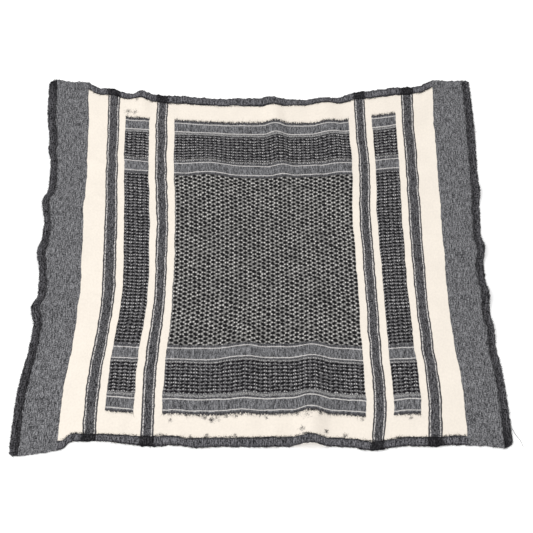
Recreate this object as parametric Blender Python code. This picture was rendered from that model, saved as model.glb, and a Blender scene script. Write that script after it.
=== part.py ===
"""A square woven headscarf, laid out flat.

The scarf is one square of cloth with a turned hem on each of its four edges. Cloth
coordinates u (across) and v (away from the viewer) run from -HALF to HALF over the square.
The section tables lay each u and v on the ground, the fold table lifts the cloth off it,
and the wall and the hems are made from the same points.
"""

from collections import namedtuple
import math

import bmesh
import bpy
from mathutils import Vector

# Driving sizes, in metres
HALF = 0.550
WALL = 0.0012
HEM_WALL = 0.0012
SEAM_GAP = 0.0003
SIDE_HEM = 0.017
END_HEM = 0.024
CORNER_ROUND = 0.017
NORMAL_STEP = 0.001

# Widest cell of the mesh
CELL_ACROSS = 0.024
CELL_ALONG = 0.018

# Woven lines, as distances from the middle of the cloth
FIELD_SIDE = 0.2265
INNER_STRIPE = (0.2435, 0.272)
SIDE_PANEL = (0.288, 0.351)
OUTER_STRIPE = (0.369, 0.397)
GROUND_SIDE = 0.452
FIELD_END = 0.270
TICK_BAND = (0.316, 0.412)
PANEL_END = 0.460

# Where the cloth lies from left to right: each row is a section across it at one v, and
# each column after v is the x of one woven line
Across = namedtuple("Across", "v left ground_l panel_l field_l field_r panel_r ground_r right")
LINES_ACROSS = (-HALF, -GROUND_SIDE, -0.3195, -FIELD_SIDE, FIELD_SIDE, 0.3195, GROUND_SIDE, HALF)
ACROSS = (
    Across(0.55, -0.557, -0.453, -0.319, -0.224, 0.228, 0.320, 0.455, 0.551),
    Across(0.42, -0.551, -0.445, -0.318, -0.222, 0.229, 0.320, 0.449, 0.552),
    Across(0.28, -0.532, -0.439, -0.315, -0.219, 0.232, 0.321, 0.448, 0.548),
    Across(0.14, -0.530, -0.436, -0.307, -0.212, 0.227, 0.318, 0.445, 0.542),
    Across(0.00, -0.534, -0.434, -0.301, -0.210, 0.229, 0.318, 0.443, 0.535),
    Across(-0.14, -0.529, -0.429, -0.301, -0.211, 0.231, 0.321, 0.441, 0.536),
    Across(-0.28, -0.537, -0.437, -0.311, -0.216, 0.232, 0.324, 0.447, 0.541),
    Across(-0.34, -0.547, -0.443, -0.314, -0.219, 0.234, 0.327, 0.452, 0.5485),
    Across(-0.42, -0.555, -0.449, -0.317, -0.222, 0.235, 0.329, 0.456, 0.5535),
    Across(-0.55, -0.557, -0.453, -0.320, -0.222, 0.224, 0.315, 0.455, 0.557),
)

# Where it lies from near to far: each row is a section along it at one u, and the columns
# after u are the y of its near end, of both ends of the middle field and of its far end.
# The side bands are woven looser than the cream ground and reach further.
Along = namedtuple("Along", "u near field_near field_far far")
LINES_ALONG = (-HALF, -0.273, 0.273, HALF)
ALONG = (
    Along(-0.550, -0.5590, -0.276, 0.276, 0.5570),
    Along(-0.500, -0.5525, -0.275, 0.273, 0.5455),
    Along(-0.452, -0.5435, -0.275, 0.266, 0.5405),
    Along(-0.439, -0.5390, -0.275, 0.264, 0.5300),
    Along(-0.424, -0.5235, -0.276, 0.261, 0.5210),
    Along(-0.385, -0.5220, -0.276, 0.254, 0.5170),
    Along(-0.350, -0.5220, -0.276, 0.249, 0.5020),
    Along(-0.310, -0.5275, -0.278, 0.244, 0.4990),
    Along(-0.250, -0.5355, -0.280, 0.238, 0.4920),
    Along(-0.200, -0.5330, -0.282, 0.234, 0.4880),
    Along(-0.150, -0.5395, -0.283, 0.230, 0.4830),
    Along(-0.100, -0.5375, -0.283, 0.228, 0.4790),
    Along(0.000, -0.5390, -0.280, 0.224, 0.4800),
    Along(0.075, -0.5380, -0.280, 0.225, 0.4770),
    Along(0.120, -0.5380, -0.280, 0.227, 0.4740),
    Along(0.200, -0.5415, -0.287, 0.231, 0.4800),
    Along(0.250, -0.5495, -0.290, 0.236, 0.4995),
    Along(0.310, -0.5395, -0.285, 0.244, 0.5055),
    Along(0.350, -0.5400, -0.283, 0.247, 0.5150),
    Along(0.380, -0.5410, -0.281, 0.249, 0.5160),
    Along(0.415, -0.5370, -0.280, 0.253, 0.5180),
    Along(0.452, -0.5380, -0.278, 0.262, 0.5385),
    Along(0.500, -0.5410, -0.276, 0.267, 0.5365),
    Along(0.550, -0.5500, -0.275, 0.272, 0.5410),
)

# Each fold is a soft ridge from one end of its crest to the other. It is highest halfway,
# so a fold that runs out over an edge starts beyond that edge. push moves the cloth along
# the crest, out towards the fold's start.
Fold = namedtuple("Fold", "u0 v0 u1 v1 rise half push")
FOLDS = (
    # Ripples of the left edge, far to near
    Fold(-0.66, 0.308, -0.44, 0.300, 0.005, 0.034, 0.005),
    Fold(-0.70, 0.134, -0.38, 0.130, 0.016, 0.056, 0.009),
    Fold(-0.68, -0.010, -0.42, -0.020, 0.012, 0.050, 0.006),
    Fold(-0.72, -0.212, -0.37, -0.137, 0.018, 0.042, 0.009),
    # Ripples of the right edge, far to near
    Fold(0.67, 0.175, 0.43, 0.160, 0.008, 0.042, 0.003),
    Fold(0.68, -0.016, 0.42, -0.001, 0.012, 0.044, 0.006),
    Fold(0.68, -0.158, 0.41, -0.126, 0.013, 0.042, 0.003),
    Fold(0.66, -0.245, 0.44, -0.230, 0.006, 0.044, 0.003),
    # Folds that run in from the far end, left to right
    Fold(-0.307, 0.680, -0.310, 0.440, 0.014, 0.029, 0.0),
    Fold(0.016, 0.720, 0.060, 0.120, 0.014, 0.036, 0.0),
    Fold(0.138, 0.720, 0.215, 0.140, 0.012, 0.048, 0.0),
    # Folds that run in from the near end, left to right
    Fold(-0.045, -0.060, -0.040, -0.540, 0.012, 0.046, 0.0),
    Fold(0.104, -1.000, 0.108, -0.080, 0.020, 0.048, 0.0),
    # A broad swell in the far left of the field
    Fold(-0.150, 0.460, -0.125, 0.080, 0.011, 0.085, 0.0),
)
# How fast a fold's lift and its push die away along the crest
LIFT_POWER = 1.5
PUSH_POWER = 4


def through(places, values, at):
    """Value at one place on a smooth curve through all the values."""
    last = len(places) - 1
    k = 0
    while k < last - 1 and at > places[k + 1]:
        k += 1
    slopes = [
        (values[min(j + 1, last)] - values[max(j - 1, 0)])
        / (places[min(j + 1, last)] - places[max(j - 1, 0)])
        for j in (k, k + 1)
    ]
    width = places[k + 1] - places[k]
    t = (at - places[k]) / width
    keep = (1.0 + 2.0 * t) * (1.0 - t) ** 2
    lean = width * t * (1.0 - t)
    return (
        keep * values[k]
        + (1.0 - keep) * values[k + 1]
        + lean * ((1.0 - t) * slopes[0] - t * slopes[1])
    )


def rounded(u, v):
    """Cloth coordinates with the square's corner turned into a quarter circle."""
    inner = HALF - CORNER_ROUND
    a = (abs(u) - inner) / CORNER_ROUND
    b = (abs(v) - inner) / CORNER_ROUND
    if a <= 0.0 or b <= 0.0:
        return u, v
    round_a = a * math.sqrt(1.0 - b * b / 2.0)
    round_b = b * math.sqrt(1.0 - a * a / 2.0)
    return (
        math.copysign(inner + round_a * CORNER_ROUND, u),
        math.copysign(inner + round_b * CORNER_ROUND, v),
    )


def on_ground(u, v):
    """Plan position of a cloth point before any fold lifts it."""
    vs, *columns = zip(*reversed(ACROSS))
    x = through(LINES_ACROSS, [through(vs, column, v) for column in columns], u)
    us, *columns = zip(*ALONG)
    y = through(LINES_ALONG, [through(us, column, u) for column in columns], v)
    return x, y


def fold_shape(fold, u, v):
    """Height of a fold's section and of its crest at a cloth point, each from 0 to 1."""
    run_u = fold.u1 - fold.u0
    run_v = fold.v1 - fold.v0
    length = math.hypot(run_u, run_v)
    along = ((u - fold.u0) * run_u + (v - fold.v0) * run_v) / length**2
    off = abs((u - fold.u0) * run_v - (v - fold.v0) * run_u) / length
    if not 0.0 < along < 1.0 or off >= fold.half:
        return 0.0, 0.0
    return 0.5 + 0.5 * math.cos(math.pi * off / fold.half), math.sin(math.pi * along)


def underside(u, v):
    """Point of the cloth's lower face."""
    u, v = rounded(u, v)
    x, y = on_ground(u, v)
    z = 0.0
    for fold in FOLDS:
        section, crest = fold_shape(fold, u, v)
        z += fold.rise * section * crest**LIFT_POWER
        push = fold.push * section * crest**PUSH_POWER
        length = math.hypot(fold.u1 - fold.u0, fold.v1 - fold.v0)
        x += push * (fold.u0 - fold.u1) / length
        y += push * (fold.v0 - fold.v1) / length
    return Vector((x, y, z))


def upward(u, v):
    """Unit normal of the cloth at one of its points."""
    step = NORMAL_STEP
    across = underside(min(u + step, HALF), v) - underside(max(u - step, -HALF), v)
    along = underside(u, min(v + step, HALF)) - underside(u, max(v - step, -HALF))
    return across.cross(along).normalized()


def split(stops, widest):
    """Every stop, with the stretches between them cut into equal cells."""
    places = [stops[0]]
    for start, end in zip(stops, stops[1:]):
        cells = max(1, math.ceil((end - start) / widest - 1e-6))
        places += [start + (end - start) * k / cells for k in range(1, cells + 1)]
    return places


def mirrored(distances):
    """Stops on both sides of the middle, from one end of the cloth to the other."""
    return [-d for d in sorted(distances, reverse=True)] + sorted(distances)


SIDE_STOPS = (
    FIELD_SIDE, *INNER_STRIPE, *SIDE_PANEL, *OUTER_STRIPE, GROUND_SIDE,
    HALF - SIDE_HEM, HALF - SIDE_HEM / 2, HALF,
)
END_STOPS = (FIELD_END, *TICK_BAND, PANEL_END, HALF - END_HEM, HALF - END_HEM / 2, HALF)
GRID_U = split(mirrored(SIDE_STOPS), CELL_ACROSS)
GRID_V = split(mirrored(END_STOPS), CELL_ALONG)


def zone(u, v):
    """Name of the weave at a cloth point."""
    side = abs(u)
    end = abs(v)
    if side > GROUND_SIDE:
        return "marl"
    if INNER_STRIPE[0] < side < INNER_STRIPE[1] or OUTER_STRIPE[0] < side < OUTER_STRIPE[1]:
        return "stripe"
    in_side_panel = SIDE_PANEL[0] < side < SIDE_PANEL[1]
    if end > PANEL_END or not (side < FIELD_SIDE or in_side_panel):
        return "cream"
    if TICK_BAND[0] < end < TICK_BAND[1]:
        return "ticks"
    if end < FIELD_END:
        return "ticks" if in_side_panel else "net"
    return "marl"


def linear(red, green, blue):
    """A screen colour of 0 to 255 as linear light."""
    return [((c / 255.0 + 0.055) / 1.055) ** 2.4 for c in (red, green, blue)] + [1.0]


def cloth_finish(name, colour, roughness):
    """Matt cloth of one colour."""
    material = bpy.data.materials.new(name)
    material.use_nodes = True
    shader = material.node_tree.nodes["Principled BSDF"]
    shader.inputs["Base Color"].default_value = linear(*colour)
    shader.inputs["Roughness"].default_value = roughness
    shader.inputs["Metallic"].default_value = 0.0
    shader.inputs["Sheen Weight"].default_value = 0.3
    material.diffuse_color = linear(*colour)
    return material


def wall(name, us, vs, low, high, finishes, pick, middle):
    """A closed wall over the grid, from low to high above the cloth's lower face."""
    mesh = bmesh.new()
    faces = []
    normals = {(u, v): upward(u, v) for u in us for v in vs}
    layers = [
        {
            (u, v): mesh.verts.new(underside(u, v) + normals[u, v] * height - middle)
            for u in us
            for v in vs
        }
        for height in (low, high)
    ]
    bottom, top = layers
    for u0, u1 in zip(us, us[1:]):
        for v0, v1 in zip(vs, vs[1:]):
            index = pick(0.5 * (u0 + u1), 0.5 * (v0 + v1))
            corners = ((u0, v0), (u1, v0), (u1, v1), (u0, v1))
            for triangle in ((0, 1, 2), (0, 2, 3)):
                keys = [corners[k] for k in triangle]
                faces.append((mesh.faces.new([top[key] for key in keys]), index))
                faces.append((mesh.faces.new([bottom[key] for key in reversed(keys)]), index))
    rim = (
        [(u, vs[0]) for u in us]
        + [(us[-1], v) for v in vs[1:]]
        + [(u, vs[-1]) for u in reversed(us[:-1])]
        + [(us[0], v) for v in reversed(vs[1:-1])]
    )
    for start, end in zip(rim, rim[1:] + rim[:1]):
        index = pick(*start)
        faces.append((mesh.faces.new((bottom[start], bottom[end], top[end])), index))
        faces.append((mesh.faces.new((bottom[start], top[end], top[start])), index))
    for face, index in faces:
        face.material_index = index
        face.smooth = True
    data = bpy.data.meshes.new(name)
    mesh.to_mesh(data)
    mesh.free()
    data.set_sharp_from_angle(angle=math.radians(50.0))
    piece = bpy.data.objects.new(name, data)
    for finish in finishes:
        data.materials.append(finish)
    bpy.context.scene.collection.objects.link(piece)
    return piece


def middle_of_cloth():
    """Middle of the box round the cloth, on the ground."""
    points = []
    for u in GRID_U:
        for v in GRID_V:
            foot = underside(u, v)
            points += [foot, foot + upward(u, v) * (WALL + SEAM_GAP + HEM_WALL)]
    low = [min(point[axis] for point in points) for axis in (0, 1)]
    high = [max(point[axis] for point in points) for axis in (0, 1)]
    return Vector(((low[0] + high[0]) / 2, (low[1] + high[1]) / 2, 0.0))


def make_cloth(middle):
    """The woven square."""
    weaves = {
        "cream": cloth_finish("cream_ground", (250, 241, 226), 0.92),
        "marl": cloth_finish("grey_marl", (103, 102, 105), 0.9),
        "stripe": cloth_finish("slate_stripe", (76, 77, 83), 0.9),
        "net": cloth_finish("net_field", (104, 102, 98), 0.9),
        "ticks": cloth_finish("tick_weave", (76, 74, 74), 0.9),
    }
    order = list(weaves)
    wall(
        "cloth", GRID_U, GRID_V, 0.0, WALL, weaves.values(),
        lambda u, v: order.index(zone(u, v)), middle,
    )


def make_hems(middle):
    """Four turned hems on the cloth's upper face. The side hems run the whole length."""
    side_finish = cloth_finish("side_hem", (52, 54, 56), 0.9)
    end_finish = cloth_finish("end_hem", (72, 72, 76), 0.9)
    low = WALL + SEAM_GAP
    high = low + HEM_WALL
    side_line = HALF - SIDE_HEM
    end_line = HALF - END_HEM
    left = [u for u in GRID_U if u <= -side_line]
    right = [u for u in GRID_U if u >= side_line]
    between = [u for u in GRID_U if abs(u) < side_line]
    between = [SEAM_GAP - side_line] + between + [side_line - SEAM_GAP]
    near = [v for v in GRID_V if v <= -end_line]
    far = [v for v in GRID_V if v >= end_line]
    hems = (
        ("hem_left", left, GRID_V, side_finish),
        ("hem_right", right, GRID_V, side_finish),
        ("hem_near", between, near, end_finish),
        ("hem_far", between, far, end_finish),
    )
    for name, us, vs, finish in hems:
        wall(name, us, vs, low, high, (finish,), lambda u, v: 0, middle)


def main():
    for old in list(bpy.data.objects):
        bpy.data.objects.remove(old)
    middle = middle_of_cloth()
    make_cloth(middle)
    make_hems(middle)


main()
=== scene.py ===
"""Looks of a square woven headscarf that lies spread out on the floor.

Cloth coordinates u (across) and v (away from the viewer) run from -HALF to HALF over the
square. The tables lay each u and v on the ground and lift the folds, the weave is charted in
the same coordinates, and every piece is made from them: the cloth, its four turned hems,
their stitches, and the fibres that stand out of the cloth.
"""

from collections import namedtuple
import math

import bpy
from mathutils import Matrix, Vector
import numpy as np


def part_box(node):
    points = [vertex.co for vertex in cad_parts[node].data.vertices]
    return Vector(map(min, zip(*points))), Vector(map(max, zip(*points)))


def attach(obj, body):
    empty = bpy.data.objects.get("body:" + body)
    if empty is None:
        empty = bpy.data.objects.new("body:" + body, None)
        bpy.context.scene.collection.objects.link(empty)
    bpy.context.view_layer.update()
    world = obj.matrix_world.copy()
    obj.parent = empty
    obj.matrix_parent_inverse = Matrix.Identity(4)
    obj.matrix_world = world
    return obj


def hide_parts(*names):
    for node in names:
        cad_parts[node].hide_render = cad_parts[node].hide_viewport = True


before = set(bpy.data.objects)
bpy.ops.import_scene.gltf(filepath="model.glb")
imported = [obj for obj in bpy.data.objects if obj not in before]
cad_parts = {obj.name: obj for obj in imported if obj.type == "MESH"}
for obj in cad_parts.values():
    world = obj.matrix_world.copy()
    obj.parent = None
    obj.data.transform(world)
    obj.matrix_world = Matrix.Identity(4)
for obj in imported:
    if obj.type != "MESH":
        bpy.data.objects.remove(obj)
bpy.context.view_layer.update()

# Driving sizes, in metres
HALF = 0.550
WALL = 0.0012
SEAM_GAP = 0.0003
SIDE_HEM = 0.017
END_HEM = 0.024
CORNER_ROUND = 0.008
NEAR_RIGHT_ROUND = 0.021
FAR_LEFT_ROUND = 0.021
# How far apart the cloth is felt for its slope, and the width of its mesh cells
STEP = 0.001
CELL = 0.0053

# Woven lines, as distances from the middle of the cloth
FIELD_SIDE = 0.2265
INNER_STRIPE = (0.2435, 0.272)
SIDE_PANEL = (0.288, 0.351)
OUTER_STRIPE = (0.368, 0.400)
GROUND_SIDE = 0.452
FIELD_END = 0.2635
PANEL_END = 0.4618

# Where the cloth lies from left to right: each row is a section across it at one v, and
# each column after v is the x of one woven line
Across = namedtuple("Across", "v left ground_l panel_l field_l field_r panel_r ground_r right")
LINES_ACROSS = (-HALF, -GROUND_SIDE, -0.3195, -FIELD_SIDE, FIELD_SIDE, 0.3195, GROUND_SIDE, HALF)
ACROSS = (
    Across(0.55, -0.557, -0.453, -0.319, -0.224, 0.228, 0.320, 0.455, 0.551),
    Across(0.42, -0.551, -0.445, -0.318, -0.222, 0.229, 0.320, 0.449, 0.552),
    Across(0.28, -0.532, -0.439, -0.315, -0.219, 0.232, 0.321, 0.448, 0.548),
    Across(0.14, -0.530, -0.436, -0.307, -0.212, 0.227, 0.318, 0.445, 0.542),
    Across(0.00, -0.534, -0.434, -0.301, -0.210, 0.229, 0.318, 0.443, 0.535),
    Across(-0.14, -0.529, -0.429, -0.301, -0.211, 0.231, 0.321, 0.441, 0.536),
    Across(-0.28, -0.537, -0.438, -0.314, -0.219, 0.232, 0.324, 0.447, 0.541),
    Across(-0.34, -0.547, -0.445, -0.3175, -0.222, 0.234, 0.327, 0.452, 0.5485),
    Across(-0.42, -0.555, -0.451, -0.320, -0.224, 0.235, 0.329, 0.456, 0.5525),
    Across(-0.55, -0.557, -0.453, -0.320, -0.222, 0.224, 0.315, 0.455, 0.5545),
)

# Where it lies from near to far: each row is a section along it at one u, and the columns
# after u are the y of its near end, of both ends of the middle field and of its far end
Along = namedtuple("Along", "u near field_near field_far far")
LINES_ALONG = (-HALF, -0.273, 0.273, HALF)
ALONG = (
    Along(-0.550, -0.5590, -0.276, 0.276, 0.5570),
    Along(-0.500, -0.5525, -0.275, 0.273, 0.5435),
    Along(-0.452, -0.5435, -0.275, 0.266, 0.5405),
    Along(-0.439, -0.5390, -0.275, 0.264, 0.5300),
    Along(-0.424, -0.5235, -0.276, 0.261, 0.5210),
    Along(-0.385, -0.5220, -0.276, 0.254, 0.5170),
    Along(-0.350, -0.5220, -0.276, 0.249, 0.5020),
    Along(-0.310, -0.5275, -0.278, 0.244, 0.4990),
    Along(-0.250, -0.5355, -0.280, 0.238, 0.4920),
    Along(-0.200, -0.5330, -0.282, 0.234, 0.4880),
    Along(-0.150, -0.5395, -0.283, 0.230, 0.4830),
    Along(-0.100, -0.5375, -0.283, 0.228, 0.4790),
    Along(0.000, -0.5390, -0.280, 0.224, 0.4800),
    Along(0.075, -0.5380, -0.280, 0.225, 0.4770),
    Along(0.120, -0.5380, -0.280, 0.227, 0.4740),
    Along(0.200, -0.5415, -0.287, 0.231, 0.4800),
    Along(0.250, -0.5495, -0.290, 0.236, 0.4995),
    Along(0.310, -0.5395, -0.285, 0.244, 0.5055),
    Along(0.350, -0.5400, -0.283, 0.247, 0.5150),
    Along(0.380, -0.5410, -0.281, 0.249, 0.5160),
    Along(0.415, -0.5370, -0.280, 0.253, 0.5180),
    Along(0.452, -0.5380, -0.278, 0.262, 0.5385),
    Along(0.500, -0.5410, -0.276, 0.267, 0.5365),
    Along(0.550, -0.5500, -0.275, 0.272, 0.5410),
)

# Each fold is a soft ridge from one end of its crest to the other. It is highest halfway,
# so a fold that runs out over an edge starts beyond that edge. push moves the cloth along
# the crest, out towards the fold's start, and most folds have none.
Fold = namedtuple("Fold", "u0 v0 u1 v1 rise half push", defaults=(0.0,))
FOLDS = (
    # Ripples of the left edge, far to near
    Fold(-0.66, 0.308, -0.44, 0.300, 0.005, 0.034, 0.005),
    Fold(-0.70, 0.134, -0.38, 0.130, 0.016, 0.056, 0.009),
    Fold(-0.68, -0.010, -0.42, -0.020, 0.012, 0.050, 0.006),
    Fold(-0.72, -0.212, -0.37, -0.137, 0.018, 0.042, 0.009),
    # Ripples of the right edge, far to near
    Fold(0.67, 0.175, 0.43, 0.160, 0.008, 0.042, 0.003),
    Fold(0.68, -0.016, 0.42, -0.001, 0.012, 0.044, 0.006),
    Fold(0.68, -0.158, 0.41, -0.126, 0.013, 0.042, 0.003),
    Fold(0.66, -0.245, 0.44, -0.230, 0.006, 0.044, 0.003),
    # Folds that run in from the far end, left to right
    Fold(-0.307, 0.680, -0.310, 0.440, 0.014, 0.029),
    Fold(0.016, 0.720, 0.060, 0.120, 0.014, 0.036),
    Fold(0.138, 0.720, 0.215, 0.140, 0.012, 0.048),
    # Folds that run in from the near end, left to right
    Fold(-0.045, -0.060, -0.040, -0.540, 0.012, 0.046),
    Fold(0.104, -1.000, 0.108, -0.080, 0.020, 0.048),
    # A broad swell in the far left of the field
    Fold(-0.150, 0.460, -0.125, 0.080, 0.011, 0.085),
)
# How fast a fold's lift and its push fade from the middle of the crest
LIFT_POWER = 1.5
PUSH_POWER = 4

# Small creases, softer and lower than the folds
CREASES = (
    # In the left side band and cream ground
    Fold(-0.470, 0.300, -0.360, 0.255, 0.0030, 0.018),
    Fold(-0.440, 0.180, -0.365, 0.150, 0.0035, 0.016),
    Fold(-0.450, -0.120, -0.360, -0.155, 0.0035, 0.017),
    Fold(-0.540, -0.330, -0.420, -0.300, 0.0025, 0.022),
    Fold(-0.520, 0.440, -0.440, 0.380, 0.0030, 0.024),
    # In the right side band and cream ground
    Fold(0.400, 0.050, 0.470, 0.028, 0.0035, 0.016),
    Fold(0.395, -0.075, 0.480, -0.058, 0.0030, 0.016),
    Fold(0.430, 0.330, 0.540, 0.310, 0.0030, 0.022),
    Fold(0.410, -0.340, 0.530, -0.390, 0.0030, 0.024),
    # In the middle field
    Fold(-0.210, 0.050, -0.090, 0.020, 0.0020, 0.020),
    Fold(-0.070, -0.130, 0.050, -0.180, 0.0025, 0.022),
    Fold(0.060, 0.130, 0.210, 0.090, 0.0025, 0.020),
    Fold(0.140, -0.080, 0.220, -0.160, 0.0020, 0.018),
    Fold(-0.190, -0.200, -0.110, -0.250, 0.0020, 0.018),
    # Near end, left to right
    Fold(-0.079, -0.230, -0.082, -0.390, 0.0075, 0.030),
    Fold(-0.330, -0.560, -0.300, -0.430, 0.0030, 0.020),
    Fold(-0.180, -0.570, -0.200, -0.470, 0.0025, 0.018),
    Fold(0.020, -0.580, 0.030, -0.480, 0.0030, 0.018),
    Fold(0.270, -0.580, 0.255, -0.450, 0.0030, 0.020),
    # Far end, left to right
    Fold(-0.210, 0.580, -0.190, 0.470, 0.0030, 0.020),
    Fold(-0.060, 0.575, -0.080, 0.480, 0.0025, 0.018),
    Fold(0.300, 0.590, 0.330, 0.450, 0.0035, 0.024),
    Fold(0.415, 0.580, 0.405, 0.480, 0.0025, 0.018),
)

# The faint rumple all over a cloth that has been shaken out by hand: the length of each
# wave across and along, its place and its height
Rumple = namedtuple("Rumple", "across along start rise")
RUMPLES = (
    Rumple(0.231, 0.412, 0.3, 0.00050),
    Rumple(-0.173, 0.305, 1.1, 0.00040),
    Rumple(0.118, 0.247, 2.2, 0.00030),
    Rumple(0.089, -0.141, 4.0, 0.00020),
)

# Edges of a turned hem: how far its fold stands out past the cloth's edge, how far the
# edge is drawn in by it and over what width, and the hem's whole height
HEM_NOSE = 0.0016
DRAWN_IN = 0.0013
DRAWN_OVER = 0.050
HEM_HEIGHT = 0.0032
HEM_CELL = 0.0030
# Its sewing, as its distance in from the inner edge and the half width of its groove, and
# how far in the inner edge and the ends round off
HEM_SEWN = 0.0040
GROOVE_HALF = 0.0013
LIP_ROUND = 0.0015
END_ROUND = 0.0030

# Waves along a hem, each as its length and its height: how its fold puffs up between
# stitches, as a share of its height, and how its inner and outer edges wander, in metres
PUFFS = ((0.0110, 0.13), (0.0173, 0.15), (0.0290, 0.12), (0.0670, 0.08))
INNER_WANDER = ((0.0190, 0.0005), (0.0530, 0.0008), (0.1710, 0.0009))
OUTER_WANDER = ((0.0086, 0.0004), (0.0131, 0.0005), (0.0233, 0.0006), (0.0410, 0.0005))
# A lumpier hem puffs more by this share, and also stands out further by this much
LUMPS_IN_PUFF = 0.35
LUMPS_OUT = 0.0006

# Sewing: from one stitch to the next, how far from a hem's end it starts, and a stitch as
# its rings' places along it and its half thickness at each
STITCH_PITCH = 0.0031
STITCH_START = 0.004
STITCH_RINGS = np.array([0.0, 0.0004, 0.0012, 0.0020, 0.0024])
STITCH_HALVES = np.array([0.05, 0.75, 1.0, 0.75, 0.05]) * 0.00032

# Fibres on each hem's outer edge, on the inner edge of an end hem and of a side hem, and
# on each metre of a panel's end
OUTER_FIBRES = 2300
END_FIBRES = 2400
SIDE_FIBRES = 1500
FRINGE_DENSITY = 2000

# Camera, worked out from how the square's corners lie in the picture
CAMERA_RISE = math.radians(55.25)
CAMERA_AWAY = 3.37926
CAMERA_AIM = (0.01314, -0.05285)
CAMERA_TURN = -0.0036485
CAMERA_ROLL = -0.0036869
SENSOR = 36.0
LENS = 94.895


def through(places, values, at):
    """Values on smooth curves through the given ones, at many places at once."""
    places = np.array(places)
    values = np.array(values)
    if values.ndim == 1:
        values = values[:, None]
    last = len(places) - 1
    after = np.minimum(np.arange(last + 1) + 1, last)
    before = np.maximum(np.arange(last + 1) - 1, 0)
    slopes = (values[after] - values[before]) / (places[after] - places[before])[:, None]
    k = np.clip(np.searchsorted(places, at) - 1, 0, last - 1)
    column = np.arange(values.shape[1]) if values.shape[1] > 1 else 0
    width = places[k + 1] - places[k]
    t = (at - places[k]) / width
    keep = (1.0 + 2.0 * t) * (1.0 - t) ** 2
    lean = width * t * (1.0 - t)
    return (
        keep * values[k, column]
        + (1.0 - keep) * values[k + 1, column]
        + lean * ((1.0 - t) * slopes[k, column] - t * slopes[k + 1, column])
    )


def rounded(u, v):
    """Cloth coordinates with the square's corners turned into quarter circles."""
    size = np.where((u > 0.0) & (v < 0.0), NEAR_RIGHT_ROUND, CORNER_ROUND)
    size = np.where((u < 0.0) & (v > 0.0), FAR_LEFT_ROUND, size)
    inner = HALF - size
    a = (np.abs(u) - inner) / size
    b = (np.abs(v) - inner) / size
    corner = (a > 0.0) & (b > 0.0)
    a = np.where(corner, a, 0.0)
    b = np.where(corner, b, 0.0)
    round_a = inner + a * np.sqrt(1.0 - b * b / 2.0) * size
    round_b = inner + b * np.sqrt(1.0 - a * a / 2.0) * size
    return (
        np.where(corner, np.copysign(round_a, u), u),
        np.where(corner, np.copysign(round_b, v), v),
    )


def lay(u, v):
    """Points of the cloth's lower face, one row for each pair of cloth coordinates."""
    vs, *columns = zip(*reversed(ACROSS))
    x = through(LINES_ACROSS, [through(vs, column, v) for column in columns], u)
    us, *columns = zip(*ALONG)
    y = through(LINES_ALONG, [through(us, column, u) for column in columns], v)
    z = np.zeros_like(u)
    for fold in FOLDS + CREASES:
        run_u = fold.u1 - fold.u0
        run_v = fold.v1 - fold.v0
        length = math.hypot(run_u, run_v)
        along = ((u - fold.u0) * run_u + (v - fold.v0) * run_v) / length**2
        off = np.abs((u - fold.u0) * run_v - (v - fold.v0) * run_u) / length
        lifted = (along > 0.0) & (along < 1.0) & (off < fold.half)
        section = np.where(lifted, 0.5 + 0.5 * np.cos(math.pi * off / fold.half), 0.0)
        crest = np.where(lifted, np.sin(math.pi * np.clip(along, 0.0, 1.0)), 0.0)
        z = z + fold.rise * section * crest**LIFT_POWER
        push = fold.push * section * crest**PUSH_POWER
        x = x - push * run_u / length
        y = y - push * run_v / length
    for wave in RUMPLES:
        turn = math.tau * (u / wave.across + v / wave.along) + wave.start
        z = z + wave.rise * (0.5 + 0.5 * np.sin(turn))
    return np.stack([x, y, z], axis=-1)


def upward(u, v):
    """Unit normals of the cloth."""
    across = lay(u + STEP, v) - lay(u - STEP, v)
    along = lay(u, v + STEP) - lay(u, v - STEP)
    normal = np.cross(across, along)
    return normal / np.linalg.norm(normal, axis=-1, keepdims=True)


def drawn(w):
    """A cloth coordinate, drawn in a little near an edge by the fold of its hem."""
    t = np.clip((np.abs(w) - HALF + DRAWN_OVER) / DRAWN_OVER, 0.0, 1.0)
    return w - np.copysign(DRAWN_IN * t * t * (3.0 - 2.0 * t), w)


def over(u, v, height):
    """Points at a height above the cloth's lower face."""
    u, v = rounded(np.asarray(u, float), np.asarray(v, float))
    u, v = drawn(u), drawn(v)
    return lay(u, v) + upward(u, v) * np.asarray(height)[..., None] + SHIFT


def middle_shift():
    """How far the laid cloth moves on the ground, so that it lies in its solid."""
    edge = np.linspace(-HALF, HALF, 801)
    side = np.full_like(edge, HALF)
    rim = np.concatenate([
        lay(*rounded(u, v)) for u, v in ((edge, side), (edge, -side), (side, edge), (-side, edge))
    ])
    low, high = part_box("cloth")
    middle = (np.array(low) + np.array(high)) / 2.0 - (rim.min(axis=0) + rim.max(axis=0)) / 2.0
    return np.array([middle[0], middle[1], 0.0])


SHIFT = middle_shift()


# Meshes

def new_piece(name, points, faces, places=None):
    """A mesh object, with the cloth coordinates of its points as a UV map in metres."""
    data = bpy.data.meshes.new(name)
    data.from_pydata([tuple(p) for p in points], [], faces)
    if places is not None:
        corners = np.empty(len(data.loops), dtype=np.int32)
        data.loops.foreach_get("vertex_index", corners)
        layer = data.uv_layers.new(name="cloth_metres")
        layer.uv.foreach_set("vector", np.asarray(places, np.float32)[corners].ravel())
    data.shade_smooth()
    piece = bpy.data.objects.new(name, data)
    bpy.context.scene.collection.objects.link(piece)
    return piece


def sheet_faces(columns, rows, start=0, turned=False):
    """Quads over a grid of points that is stored row by row."""
    k = np.arange(rows - 1)[:, None] * columns + np.arange(columns - 1)[None] + start
    quads = np.stack([k, k + 1, k + 1 + columns, k + columns], axis=-1).reshape(-1, 4)
    return quads[:, ::-1] if turned else quads


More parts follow.
